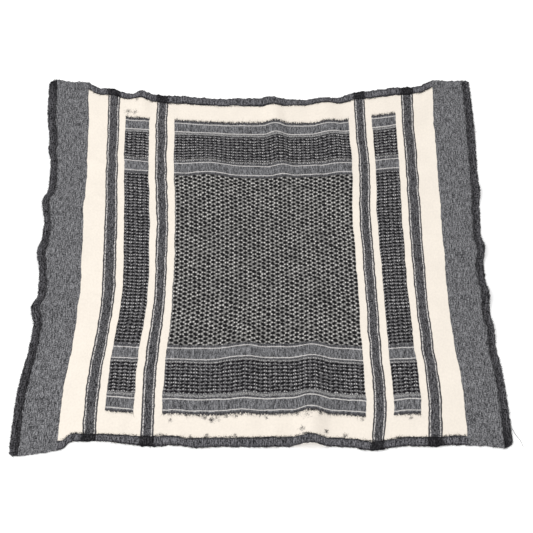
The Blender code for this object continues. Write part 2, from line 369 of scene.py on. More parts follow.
def ring_faces(ring, count):
    """Quads between rings of points, each ring stored after the last."""
    k = np.arange(count - 1)[:, None] * ring
    j = np.arange(ring)[None]
    after = (j + 1) % ring
    return np.stack([k + j, k + after, k + after + ring, k + j + ring], axis=-1).reshape(-1, 4)


def tube_faces(ring, count):
    """Faces of a tube of rings, with a cap at each end."""
    last = (count - 1) * ring
    return ring_faces(ring, count).tolist() + [
        list(range(ring))[::-1],
        list(range(last, last + ring)),
    ]


def make_cloth():
    """The woven square, a thin closed shell."""
    count = int(round(2.0 * HALF / CELL)) + 1
    places = np.linspace(-HALF, HALF, count)
    u, v = (grid.ravel() for grid in np.meshgrid(places, places))
    under = over(u, v, np.zeros_like(u))
    upper = over(u, v, np.full_like(u, WALL))
    total = count * count
    row = np.arange(count)
    rim = np.concatenate([
        row[:-1],
        row[:-1] * count + count - 1,
        (total - 1 - row)[:-1],
        ((count - 1 - row) * count)[:-1],
    ])
    after = np.roll(rim, -1)
    edge = np.stack([rim + total, after + total, after, rim], axis=-1)[:, ::-1]
    faces = np.concatenate([
        sheet_faces(count, count),
        sheet_faces(count, count, start=total, turned=True),
        edge,
    ])
    ground = np.stack([u, v], axis=-1)
    piece = new_piece("woven_square", np.concatenate([upper, under]), faces.tolist(),
                      np.concatenate([ground, ground]))
    squares = (count - 1) ** 2
    wrong = np.zeros(len(faces), dtype=np.int32)
    wrong[squares:2 * squares] = 1
    piece.data.polygons.foreach_set("material_index", wrong)
    # The upper face takes most of the room on the flat map, with a strip for the cut edge
    # and the underside beside it
    flat = ground / (2.0 * HALF) + 0.5
    corners = np.concatenate([
        (flat * (0.785, 1.0))[faces[:squares]],
        (flat * (0.195, 1.0) + (0.805, 0.0))[faces[squares:2 * squares] - total],
    ])
    cells = len(edge)
    low = np.arange(cells) / cells
    strip = np.stack([
        np.stack([np.full(cells, x), low + rise / cells], axis=-1)
        for x, rise in ((0.790, 0.1), (0.800, 0.1), (0.800, 0.9), (0.790, 0.9))
    ], axis=1)
    layer = piece.data.uv_layers.new(name="OFBake")
    layer.uv.foreach_set("vector", np.concatenate([corners, strip]).astype(np.float32).ravel())
    piece.data.uv_layers["cloth_metres"].active_render = True
    return piece


def waver(at, waves):
    """Sum of sines along an edge, each given by its length and its height."""
    return sum(
        height * np.sin(math.tau * at / length + 7.0 * k)
        for k, (length, height) in enumerate(waves)
    )


def hem_rise(d, width):
    """Height of a turned hem's upper face at distances in from the cloth's edge."""
    base = WALL + SEAM_GAP
    sewn = np.exp(-(((width - HEM_SEWN - d) / GROOVE_HALF) ** 2))
    lip = np.sqrt(1.0 - np.clip((d - width) / LIP_ROUND + 1.0, 0.0, 1.0) ** 2)
    return base + (HEM_HEIGHT - base) * (1.0 - 0.25 * d / width) * (1.0 - 0.55 * sewn) * lip


def hem_section(width):
    """Closed section of a turned hem, from its foot outside the cloth's edge round its fold.

    Each point is its distance in from the cloth's edge and its height.
    """
    base = WALL + SEAM_GAP
    turns = np.radians(np.linspace(-90.0, 90.0, 9))
    nose = np.stack([
        -SEAM_GAP - (HEM_NOSE - SEAM_GAP) * np.cos(turns),
        HEM_HEIGHT / 2.0 * (1.0 + np.sin(turns)),
    ], axis=-1)
    d = np.linspace(0.0, width, 14)[1:]
    top = np.stack([d, hem_rise(d, width)], axis=-1)
    foot = [(width * k / 4.0, base) for k in (3, 2, 1)]
    return np.concatenate([nose, top, foot, [(-SEAM_GAP, base)]])


def make_hem(hem):
    """One turned hem, laid section by section along its edge."""
    width = hem.width
    section = hem_section(width)
    count = int(2.0 * hem.reach / HEM_CELL) + 1
    along = np.linspace(-hem.reach, hem.reach, count)
    ring = len(section)
    d = np.repeat(section[None, :, 0], count, axis=0)
    h = np.repeat(section[None, :, 1], count, axis=0)
    a = np.repeat(along[:, None], ring, axis=1)
    # The fold puffs between stitches and its edges are never quite straight
    base = WALL + SEAM_GAP
    puff = 1.0 + waver(along, PUFFS)[:, None] * (1.0 + (hem.lumps - 1.0) * LUMPS_IN_PUFF)
    end = np.clip((hem.reach - np.abs(along)) / END_ROUND, 0.0, 1.0)
    closing = np.sqrt(1.0 - (1.0 - end) ** 2)[:, None] * 0.75 + 0.25
    raised = h > base + 1e-6
    h = np.where(raised, base + (h - base) * puff * closing, h)
    inner = np.clip((d - 0.6 * width) / (0.4 * width), 0.0, 1.0)
    d = d + inner * waver(along, INNER_WANDER)[:, None]
    outer = np.clip(-d / HEM_NOSE, 0.0, 1.0)
    rough = waver(along, OUTER_WANDER) * hem.lumps - (hem.lumps - 1.0) * LUMPS_OUT
    d = d + outer * rough[:, None]
    u, v = as_turned(hem, d, a)
    points = over(u.ravel(), v.ravel(), h.ravel())
    places = np.stack([grid.ravel() for grid in hem.to_cloth(d, a)], axis=-1)
    return new_piece(hem.name, points, tube_faces(ring, count), places)


def side_edge(side):
    """Cloth coordinates from the distance in from the left (-1) or right (1) edge."""
    return lambda d, a: (side * (HALF - d), a)


def end_edge(end):
    """Cloth coordinates from the distance in from the near (-1) or far (1) end."""
    return lambda d, a: (a, end * (HALF - d))


# Each turned hem: its names, how wide it is, how a place on it lies in the cloth, how far it
# runs from its middle, which way is out, how lumpy its fold is, and by how much it was
# turned over wider or narrower at places along it
Hem = namedtuple("Hem", "name node slot width to_cloth reach out lumps uneven")
BETWEEN = HALF - SIDE_HEM - SEAM_GAP
HEMS = (
    Hem("turned_hem_left", "hem_left", "side_hem_cloth",
        SIDE_HEM, side_edge(-1), HALF, (-1, 0), 1.0,
        ((-0.55, 0.0), (-0.20, 0.001), (0.10, -0.001), (0.35, 0.001), (0.55, 0.0))),
    Hem("turned_hem_right", "hem_right", "side_hem_cloth",
        SIDE_HEM, side_edge(1), HALF, (1, 0), 1.0,
        ((-0.55, 0.0), (-0.30, -0.001), (0.05, 0.001), (0.30, 0.0), (0.55, 0.0))),
    Hem("turned_hem_near", "hem_near", "end_hem_cloth",
        END_HEM, end_edge(-1), BETWEEN, (0, -1), 1.3,
        ((-0.44, 0.000), (-0.36, -0.006), (-0.32, -0.004), (-0.29, 0.001), (-0.23, 0.005),
         (-0.18, -0.003), (-0.14, 0.001), (-0.03, 0.000), (0.06, 0.001), (0.14, -0.002),
         (0.22, -0.001), (0.34, -0.001), (0.44, 0.001))),
    Hem("turned_hem_far", "hem_far", "end_hem_cloth",
        END_HEM, end_edge(1), BETWEEN, (0, 1), 2.2,
        ((-0.44, -0.001), (-0.36, -0.004), (-0.33, -0.008), (-0.30, 0.000), (-0.23, 0.003),
         (-0.14, 0.000), (-0.04, 0.002), (0.03, 0.004), (0.08, -0.003), (0.14, -0.007),
         (0.18, -0.008), (0.23, 0.000), (0.34, 0.001), (0.44, -0.001))),
)


def as_turned(hem, d, a):
    """Cloth coordinates on a hem, with its uneven width."""
    places, changes = zip(*hem.uneven)
    change = np.interp(a, places, changes) / hem.width
    return hem.to_cloth(d * (1.0 + change), a)


def make_stitches():
    """The line of sewing that holds each hem down, as short fat stitches in its groove."""
    points = []
    faces = []
    sides = 6
    turns = np.arange(sides) * math.tau / sides
    for hem in HEMS:
        flip = hem.out in ((-1, 0), (0, 1))
        first = STITCH_START - hem.reach
        for start in np.arange(first, -first, STITCH_PITCH):
            stray = 0.0005 * math.sin(start * 90.0) + 0.0003 * math.sin(start * 411.0)
            line = hem.width - HEM_SEWN + stray
            d = line + np.outer(STITCH_HALVES, np.cos(turns))
            h = hem_rise(line, hem.width) + 0.0001 + np.outer(STITCH_HALVES, np.sin(turns))
            a = np.repeat((start + STITCH_RINGS)[:, None], sides, axis=1)
            u, v = as_turned(hem, d, a)
            base = len(points) * a.size
            ring = ring_faces(sides, len(a))
            faces += ((ring[:, ::-1] if flip else ring) + base).tolist()
            points.append((u.ravel(), v.ravel(), h.ravel()))
    u, v, h = (np.concatenate(column) for column in zip(*points))
    return new_piece("hem_stitches", over(u, v, h), faces, np.stack([u, v], axis=-1))


def make_fibres(name, rows, pick):
    """Tapered three-sided fibres that stand on the cloth, each bent a little.

    Each row is a lot of fibres: the cloth coordinates and heights of their roots, their
    directions in cloth coordinates, their lengths and their thicknesses.
    """
    u, v, h, aim, length, thickness = (np.concatenate(column) for column in zip(*rows))
    count = len(u)
    root = over(u, v, h)
    aim = aim / np.linalg.norm(aim, axis=-1, keepdims=True)
    bend = pick.normal(size=(count, 3)) * (0.40, 0.40, 0.18)
    square = np.cross(aim, (0.0, 0.0, 1.0)) + (0.0, 1e-6, 0.0)
    square /= np.linalg.norm(square, axis=-1, keepdims=True)
    other = np.cross(aim, square)
    thick = thickness[:, None]
    corners = []
    for t, full in ((0.0, 1.0), (0.4, 0.8), (0.75, 0.5)):
        middle = root + (aim * t + bend * t * t) * length[:, None]
        middle[:, 2] = np.maximum(middle[:, 2], 0.0004)
        for turn in (0.0, math.tau / 3.0, -math.tau / 3.0):
            side = square * math.cos(turn) + other * math.sin(turn)
            corners.append(middle + side * thick * full)
    tip = root + (aim + bend) * length[:, None]
    tip[:, 2] = np.maximum(tip[:, 2], 0.0003)
    points = np.stack(corners + [tip], axis=1).reshape(-1, 3)
    base = (np.arange(count) * 10)[:, None]
    shape = ring_faces(3, 3).tolist() + [(6, 7, 9), (7, 8, 9), (8, 6, 9), (2, 1, 0)]
    faces = []
    for face in shape:
        faces += (base + face).tolist()
    steps = np.array([0.0, 0.0, 0.0, 0.4, 0.4, 0.4, 0.75, 0.75, 0.75, 1.0])
    places = np.stack([
        u[:, None] + steps * aim[:, :1] * length[:, None],
        v[:, None] + steps * aim[:, 1:2] * length[:, None],
    ], axis=-1).reshape(-1, 2)
    return new_piece(name, points, faces, places)


def fan(pick, out, count, spread, low, high):
    """Directions round one way out, spread to both sides and lifted from low to high."""
    turn = np.clip(pick.normal(0.0, spread, count), -1.5, 1.5)
    x = out[0] * np.cos(turn) - out[1] * np.sin(turn)
    y = out[0] * np.sin(turn) + out[1] * np.cos(turn)
    return np.stack([x, y, pick.uniform(low, high, count)], axis=-1)


def gathered(pick, low, high, count, clump, spread):
    """Places along an edge, in clumps of a few fibres as a worn edge has them."""
    middles = pick.uniform(low, high, max(1, count // clump))
    places = pick.choice(middles, count) + pick.normal(0.0, spread, count)
    return np.clip(places, low, high)


def sizes_of(pick, count, longest, long_ones, thickest):
    """Lengths of fibres, with a share of long ones, and their thicknesses."""
    length = pick.uniform(0.0012, longest, count) + (pick.random(count) < long_ones) * 0.0030
    return length, pick.uniform(0.00014, thickest, count)


def make_edge_fuzz():
    """Fibres that stand out round the scarf's outline."""
    pick = np.random.default_rng(11)
    rows = []
    for hem in HEMS:
        count = OUTER_FIBRES
        a = gathered(pick, -HALF + 0.003, HALF - 0.003, count, 4, 0.0016)
        d = np.full(count, -HEM_NOSE / 2.0)
        u, v = as_turned(hem, d, a)
        h = pick.uniform(0.0006, 0.0027, count)
        aim = fan(pick, hem.out, count, 0.75, -0.25, 0.45)
        rows.append((u, v, h, aim, *sizes_of(pick, count, 0.0040, 0.06, 0.00030)))
    return make_fibres("edge_fuzz", rows, pick)


def make_hem_fuzz():
    """Fibres along the inner edges of the hems, where the cut edge is sewn down."""
    pick = np.random.default_rng(12)
    rows = []
    for hem in HEMS:
        crossed = hem.out[0] == 0
        reach = GROUND_SIDE if crossed else hem.reach
        count = END_FIBRES if crossed else SIDE_FIBRES
        a = gathered(pick, -reach + 0.002, reach - 0.002, count, 3, 0.0015)
        d = hem.width + pick.normal(0.0, 0.0010, count)
        u, v = as_turned(hem, d, a)
        h = WALL + pick.uniform(0.0002, 0.0009, count)
        inward = (-hem.out[0], -hem.out[1])
        aim = fan(pick, inward, count, 0.9, 0.02, 0.45)
        rows.append((u, v, h, aim, *sizes_of(pick, count, 0.0038, 0.08, 0.00028)))
    return make_fibres("hem_fuzz", rows, pick)


def make_panel_fringe():
    """Dark float ends that fray out of both ends of the three panels over the cream ground."""
    pick = np.random.default_rng(13)
    rows = []
    for end in (-1, 1):
        for low, high in ((-FIELD_SIDE, FIELD_SIDE), SIDE_PANEL, (-SIDE_PANEL[1], -SIDE_PANEL[0])):
            count = int((high - low) * FRINGE_DENSITY)
            u = gathered(pick, low, high, count, 3, 0.0012)
            v = end * (PANEL_END + pick.normal(0.0, 0.0009, count))
            h = np.full(count, WALL + 0.0001)
            aim = fan(pick, (0, end), count, 0.55, 0.0, 0.16)
            length = pick.uniform(0.0012, 0.0040, count) + pick.exponential(0.0016, count)
            length = np.minimum(length, 0.011)
            rows.append((u, v, h, aim, length, pick.uniform(0.00013, 0.00028, count)))
    return make_fibres("panel_fringe", rows, pick)


def place_on_cloth(x, y):
    """Cloth coordinates of a spot seen in plan."""
    u = np.array(x, float)
    v = np.array(y, float)
    for _ in range(8):
        at = lay(u, v)
        u = u + x - at[..., 0]
        v = v + y - at[..., 1]
    return u, v


# Dark lint on the cream ground and beside the panels: where each tuft lies in plan, how far
# it spreads and how many fibres it has
Tuft = namedtuple("Tuft", "x y spread fibres")
TUFTS = (
    Tuft(-0.128, -0.465, 0.0048, 61),
    Tuft(-0.113, -0.470, 0.0055, 153),
    Tuft(-0.100, -0.463, 0.0096, 68),
    Tuft(-0.080, -0.462, 0.0043, 51),
    Tuft(-0.057, -0.462, 0.0041, 44),
    Tuft(-0.122, -0.510, 0.0041, 51),
    Tuft(-0.160, -0.512, 0.0036, 37),
    Tuft(-0.060, -0.510, 0.0034, 34),
    Tuft(0.080, -0.458, 0.0060, 108),
    Tuft(0.090, -0.453, 0.0041, 51),
    Tuft(0.100, -0.462, 0.0132, 110),
    Tuft(0.130, -0.460, 0.0048, 102),
    Tuft(0.090, -0.499, 0.0058, 81),
    Tuft(0.143, -0.504, 0.0048, 102),
    Tuft(0.185, -0.512, 0.0050, 68),
    Tuft(0.225, -0.472, 0.0038, 37),
    Tuft(0.333, -0.469, 0.0038, 37),
    Tuft(-0.205, -0.470, 0.0036, 34),
    Tuft(-0.320, 0.477, 0.0043, 47),
    Tuft(-0.344, 0.441, 0.0080, 90),
    Tuft(-0.325, 0.437, 0.0060, 60),
    Tuft(0.010, -0.466, 0.0036, 30),
)


def make_lint():
    """Tufts of loose dark fibre that have settled on the cloth."""
    pick = np.random.default_rng(14)
    rows = []
    for tuft in TUFTS:
        count = tuft.fibres
        u, v = place_on_cloth(
            tuft.x + pick.normal(0.0, tuft.spread * 0.5, count),
            tuft.y + pick.normal(0.0, tuft.spread * 0.6, count))
        h = np.full(count, WALL + 0.0002)
        turn = pick.uniform(0.0, math.tau, count)
        aim = np.stack([np.cos(turn), np.sin(turn), pick.uniform(0.0, 0.5, count)], axis=-1)
        length = pick.uniform(0.0012, 0.0042, count)
        rows.append((u, v, h, aim, length, pick.uniform(0.00012, 0.00024, count)))
    return make_fibres("lint", rows, pick)


def make_loose_thread():
    """A thread end that has come out of the right hem near its corner and lies on the floor."""
    path = np.array([
        (0.5520, -0.4960, 0.0022), (0.5560, -0.4985, 0.0030), (0.5595, -0.5040, 0.0018),
        (0.5625, -0.5110, 0.0008), (0.5660, -0.5170, 0.0005), (0.5700, -0.5230, 0.0005),
        (0.5732, -0.5300, 0.0005), (0.5750, -0.5370, 0.0005), (0.5778, -0.5440, 0.0005),
    ]) + SHIFT
    steps = np.linspace(0.0, len(path) - 1, 40)
    line = np.stack([through(range(len(path)), column, steps) for column in path.T], axis=-1)
    aim = np.gradient(line, axis=0)
    aim /= np.linalg.norm(aim, axis=-1, keepdims=True)
    square = np.cross(aim, (0.0, 0.0, 1.0))
    square /= np.linalg.norm(square, axis=-1, keepdims=True)
    other = np.cross(aim, square)
    sides = 6
    thick = 0.00060 * np.linspace(1.0, 0.4, len(line))
    turns = np.arange(sides) * math.tau / sides
    rings = (
        line[:, None]
        + square[:, None] * (np.cos(turns)[None, :, None] * thick[:, None, None])
        + other[:, None] * (np.sin(turns)[None, :, None] * thick[:, None, None])
    )
    points = rings.reshape(-1, 3)
    return new_piece("loose_thread", points, tube_faces(sides, len(line)), points[:, :2])


# Shader groups

class Field:
    """A number that varies over a surface, so that the weave's charts read as arithmetic."""

    def __init__(self, tree, socket):
        self.tree = tree
        self.socket = socket

    def math(self, operation, *others):
        inputs = dict(enumerate((self, *others)))
        return Field(self.tree, add(self.tree, "Math", inputs, operation=operation)[0])

    def __add__(self, other):
        return self.math("ADD", other)

    def __sub__(self, other):
        return self.math("SUBTRACT", other)

    def __mul__(self, other):
        return self.math("MULTIPLY", other)

    def __truediv__(self, other):
        return self.math("DIVIDE", other)

    def __abs__(self):
        return self.math("ABSOLUTE")

    def rest(self):
        """One less the field."""
        return self * -1.0 + 1.0

    def rise(self, start, end):
        """0 up to start and 1 from end on, with a soft step between them."""
        inputs = {"Value": self, "From Min": start, "From Max": end}
        outputs = add(self.tree, "MapRange", inputs, interpolation_type="SMOOTHSTEP")
        return Field(self.tree, outputs[0])

    def past(self, place, soft):
        """0 before a place and 1 past it, over a soft edge."""
        return self.rise(place - soft, place + soft)

    def between(self, low, high, soft):
        """1 between two places and 0 outside them."""
        return self.past(low, soft) * self.past(high, soft).rest()


def feed(tree, value, socket):
    """Puts a number, a colour or another node's output into a socket."""
    if isinstance(value, Field):
        tree.links.new(value.socket, socket)
    elif isinstance(value, bpy.types.NodeSocket):
        tree.links.new(value, socket)
    else:
        socket.default_value = value


def add(tree, kind, inputs, **settings):
    """Outputs of a new node, given its settings and its inputs by name or by number."""
    node = tree.nodes.new("ShaderNode" + kind)
    for name, value in settings.items():
        setattr(node, name, value)
    for label, value in inputs.items():
        feed(tree, value, node.inputs[label])
    return node.outputs


def screen(red, green, blue):
    """A screen colour of 0 to 255 as linear light."""
    return [((c / 255.0 + 0.055) / 1.055) ** 2.4 for c in (red, green, blue)] + [1.0]


def new_group(name, inputs, outputs):
    """A node group with named sockets, and its input and output nodes."""
    tree = bpy.data.node_groups.new(name, "ShaderNodeTree")
    for label, value in inputs.items():
        if value is None:
            kind = "NodeSocketVector"
        elif isinstance(value, float):
            kind = "NodeSocketFloat"
        else:
            kind = "NodeSocketColor"
        socket = tree.interface.new_socket(label, in_out="INPUT", socket_type=kind)
        if value is not None:
            socket.default_value = value
    for label, kind in outputs.items():
        tree.interface.new_socket(label, in_out="OUTPUT", socket_type="NodeSocket" + kind)
    source = tree.nodes.new("NodeGroupInput")
    target = tree.nodes.new("NodeGroupOutput")
    return tree, source.outputs, target.inputs


def use(tree, group, **values):
    """Places a group in a tree and returns its outputs. Names have _ for a space."""
    inputs = {label.replace("_", " "): value for label, value in values.items()}
    return add(tree, "Group", inputs, node_tree=group)


def split_place(tree, place):
    """Both cloth coordinates of a place, as fields."""
    outputs = add(tree, "SeparateXYZ", {0: place})
    return Field(tree, outputs[0]), Field(tree, outputs[1])


def vector_math(tree, operation, first, second):
    """A vector made of two others, or of one and how much it is scaled."""
    inputs = {0: first, "Scale" if operation == "SCALE" else 1: second}
    return add(tree, "VectorMath", inputs, operation=operation)[0]


def noise_outputs(tree, place, detail, roughness=0.5):
    """Value and colour of soft noise, at a place in units of its grain."""
    inputs = {"Vector": place, "Scale": 1.0, "Detail": detail, "Roughness": roughness}
    return add(tree, "TexNoise", inputs, noise_dimensions="2D")


def noise(tree, place, grain, detail=2.0, roughness=0.5):
    """Soft noise with grains of a given width and length."""
    scaled = vector_math(tree, "MULTIPLY", place, (1.0 / grain[0], 1.0 / grain[1], 1.0))
    return Field(tree, noise_outputs(tree, scaled, detail, roughness)[0])


def joined(tree, u, v):
    """A vector from two fields."""
    return add(tree, "CombineXYZ", {0: u, 1: v})[0]


def blended(tree, share, first, second):
    """A colour that goes from the first to the second."""
    inputs = {"Factor": share, "A": first, "B": second}
    return add(tree, "Mix", inputs, data_type="RGBA")["Result"]


# Tones of the yarns. The net and the ticks each have those of their floats, ground and knots.
NET_TONES = (screen(20, 19, 21), screen(116, 115, 113), screen(218, 215, 211))
TICK_TONES = (screen(20, 19, 22), screen(91, 90, 92), screen(212, 210, 209))
CREAM = screen(241, 232, 220)
LINE_DARK = screen(46, 44, 47)
LINE_LIGHT = screen(216, 212, 209)
DASH_LIGHT = screen(168, 166, 164)
# HEM_BLACK is also the colour of the painted shade along the hems' seams and folds
HEM_BLACK = screen(15, 14, 17)

# The marl yarns: their strands, how much of them is grain, and how strong their streaks are
MARL = {"Dark": screen(26, 26, 29), "Light": screen(158, 158, 161)}
PANEL_YARN = {**MARL, "Grain": 0.25, "Strength": 1.0}
BAND_YARN = {**MARL, "Grain": 0.55, "Strength": 0.75}
STRIPE_YARN = {
    "Dark": screen(14, 14, 17), "Light": screen(120, 119, 122), "Grain": 0.6, "Strength": 0.95,
}
SIDE_HEM_YARN = {
    "Dark": screen(8, 8, 10), "Light": screen(105, 104, 108), "Grain": 0.6, "Strength": 1.25,
}
END_HEM_YARN = {
    "Dark": screen(18, 18, 21), "Light": screen(135, 134, 139), "Grain": 0.35, "Strength": 1.25,
}

# Grains that vary the yarn, the nap and the weave: each its width across the cloth and its
# length along it
STREAKS = (0.0024, 0.0140)
LONG_STREAKS = (0.0080, 0.0500)
SPECKS = (0.0028, 0.0034)
FINE_NAP = (0.0012, 0.0012)
TUFTED_NAP = (0.0050, 0.0065)
BROAD_NAP = (0.0600, 0.0800)
THREAD_EDGES = (0.0014, 0.0014)
FRAYED_ENDS = (0.0042, 0.0200)
FLECKS = (0.0032, 0.0020)
WISPS = (0.0026, 0.0028)
THREAD_GAPS = (0.0034, 0.0046)
RAGGED_STRIPES = (0.0040, 0.0060)
FIBRE_TONES = (0.0020, 0.0020)


def make_wander():
    """Moves a place about a little, as threads do in a soft cloth."""
    tree, given, result = new_group(
        "thread_wander", {"Place": None, "Reach": 0.001, "Grain": 0.01}, {"Place": "Vector"})
    grained = vector_math(tree, "DIVIDE", given["Place"], given["Grain"])
    colour = noise_outputs(tree, grained, 1.0)[1]
    centred = vector_math(tree, "SUBTRACT", colour, (0.5, 0.5, 0.5))
    moved = vector_math(tree, "SCALE", centred, given["Reach"])
    feed(tree, vector_math(tree, "ADD", given["Place"], moved), result["Place"])
    return tree


def make_marl():
    """Yarn twisted of a dark and a light strand: short streaks along the warp and fine grain."""
    tree, given, result = new_group(
        "marl_yarn", {"Place": None, **PANEL_YARN}, {"Color": "Color", "Height": "Float"})
    place = given["Place"]
    streak = noise(tree, place, STREAKS, roughness=0.55)
    broad = noise(tree, place, LONG_STREAKS, detail=1.0)
    speck = noise(tree, place, SPECKS, detail=1.0)
    grain = Field(tree, given["Grain"])
    mixed = ((streak - 0.5) * (grain * 0.65 + 0.70) + (speck - 0.5) * (grain * 1.75 + 0.06)
             + (broad - 0.5) * 0.26) * Field(tree, given["Strength"])
    share = (mixed + 0.5).rise(0.08, 0.92)
    light = share * (share * 0.5 + 0.5)
    feed(tree, blended(tree, light, given["Dark"], given["Light"]), result["Color"])
    feed(tree, light, result["Height"])
    return tree


def make_nap():
    """The brushed surface: a haze of fibres, in tone and in height."""
    tree, given, result = new_group("nap", {"Place": None}, {"Tone": "Float", "Height": "Float"})
    place = given["Place"]
    fine = noise(tree, place, FINE_NAP, detail=3.0, roughness=0.65)
    tuft = noise(tree, place, TUFTED_NAP)
    broad = noise(tree, place, BROAD_NAP)
    feed(tree, (fine - 0.5) * 0.5 + (tuft - 0.5) * 0.5 + (broad - 0.5) * 0.4 + 0.5, result["Tone"])
    feed(tree, fine * 0.6 + tuft * 0.4, result["Height"])
    return tree


def chance_of(tree, *fields):
    """A number from 0 to 1 for each cell, and two more that have nothing to do with it."""
    cell = add(tree, "CombineXYZ", dict(enumerate(fields)))[0]
    colour = add(tree, "TexWhiteNoise", {"Vector": cell}, noise_dimensions="3D")["Color"]
    return [Field(tree, socket) for socket in add(tree, "SeparateXYZ", {0: colour})]


# One cell of the net: its width and height and where the first one starts, in metres, and
# its shapes as shares of the cell
HOOK_SHAPE = {
    "Column": 0.453 / 40, "Row": 0.01248, "Start Across": -0.2245, "Start Along": 0.0047,
    "Stagger": 0.5, "Lean": 0.15, "Float Width": 0.47, "Float Height": 0.39,
    "Knot Reach": 0.28, "Knot Width": 0.18, "Knot Height": 0.19,
}
# What differs in the ticks of the end bands and of the side panels. Rows of the end bands
# are counted from the middle of the cloth towards an end.
TICK_SHAPE = {
    "Stagger": 0.0, "Lean": 0.5, "Float_Width": 0.50, "Float_Height": 0.37,
    "Knot_Width": 0.13, "Knot_Height": 0.23,
}
END_TICKS = {"Row": 0.00985, "Start_Along": 0.31448, **TICK_SHAPE}
SIDE_TICKS = {
    "Column": 0.063 / 5.5, "Row": 0.0097, "Start_Across": SIDE_PANEL[0], "Start_Along": 0.0,
    **TICK_SHAPE,
}


def make_hooks():
    """Columns of dark floats held in a light net, with two light knots under each float."""
    tree, given, result = new_group(
        "hook_chart", {"Place": None, **HOOK_SHAPE}, {"Float": "Float", "Knot": "Float"})
    place = given["Place"]
    value = {label: Field(tree, given[label]) for label in HOOK_SHAPE}
    u, v = split_place(tree, place)
    cell = (u - value["Start Across"]) / value["Column"]
    column = cell.math("FLOOR")
    across = cell - column - 0.5
    odd = (column * 0.5).math("FRACT") * 2.0
    step = (v - value["Start Along"]) / value["Row"] + odd * value["Stagger"]
    row = step.math("FLOOR")
    along = step - row - 0.5
    grain = noise(tree, place, THREAD_EDGES, detail=1.0)

    first, second, third = chance_of(tree, column, row, 1.0)
    moved = across + (first - 0.5) * 0.14
    tilt = (second - 0.5) * 0.9 + (odd - 0.5) * value["Lean"]
    risen = along + (third - 0.5) * 0.14 + moved * tilt
    size = first * 0.22 + second * 0.18 + 0.80
    wide = moved / (value["Float Width"] * size)
    high = risen / (value["Float Height"] * size)
    inside = wide * wide + high * high + (grain - 0.5) * 1.1
    feed(tree, inside.rise(0.45, 1.35).rest(), result["Float"])

    gap = (step + 0.5).math("FLOOR")
    from_gap = step + 0.5 - gap - 0.5
    hand = across.math("SIGN")
    bright, shift, lift = chance_of(tree, column * 2.0 + hand, gap, 2.0)
    off_u = (abs(across) - value["Knot Reach"] + (shift - 0.5) * 0.12) / value["Knot Width"]
    off_v = (from_gap + (lift - 0.5) * 0.16 + hand * across * value["Lean"]) / value["Knot Height"]
    knot = (off_u * off_u + off_v * off_v + (grain - 0.5) * 0.8).rise(0.1, 1.3).rest()
    feed(tree, knot * (bright * 0.90 + 0.26), result["Knot"])
    return tree


# Where the ticks of the end bands start and end, and how much further they run at the far end
TICKS = (0.3118, 0.4050)
FAR_TICKS_MORE = 0.0036
# Woven lines across the panels, as the middle and width of each, and where the last starts
LIGHT_LINES_END = ((0.2730, 0.0024), (0.3045, 0.0024), (0.4195, 0.0030), (0.4508, 0.0025))
DARK_LINES_END = ((0.2668, 0.0050), (0.3093, 0.0034), (0.4145, 0.0030))
DASHES_END = ((0.3136, 0.0036), (0.4088, 0.0072))
DARK_END = (0.4535, 0.4575)
# The light line of a stripe, as its two distances in from the stripe's edge
STRIPE_LINE = (0.0033, 0.0057)


def sum_of(fields):
    """Fields added up, none of them over another."""
    total = fields[0]
    for field in fields[1:]:
        total = total + field
    return total


def threads(at, lines, soft):
    """1 on some woven lines, each given by its middle and its width."""
    return sum_of([at.between(middle - w / 2.0, middle + w / 2.0, soft) for middle, w in lines])


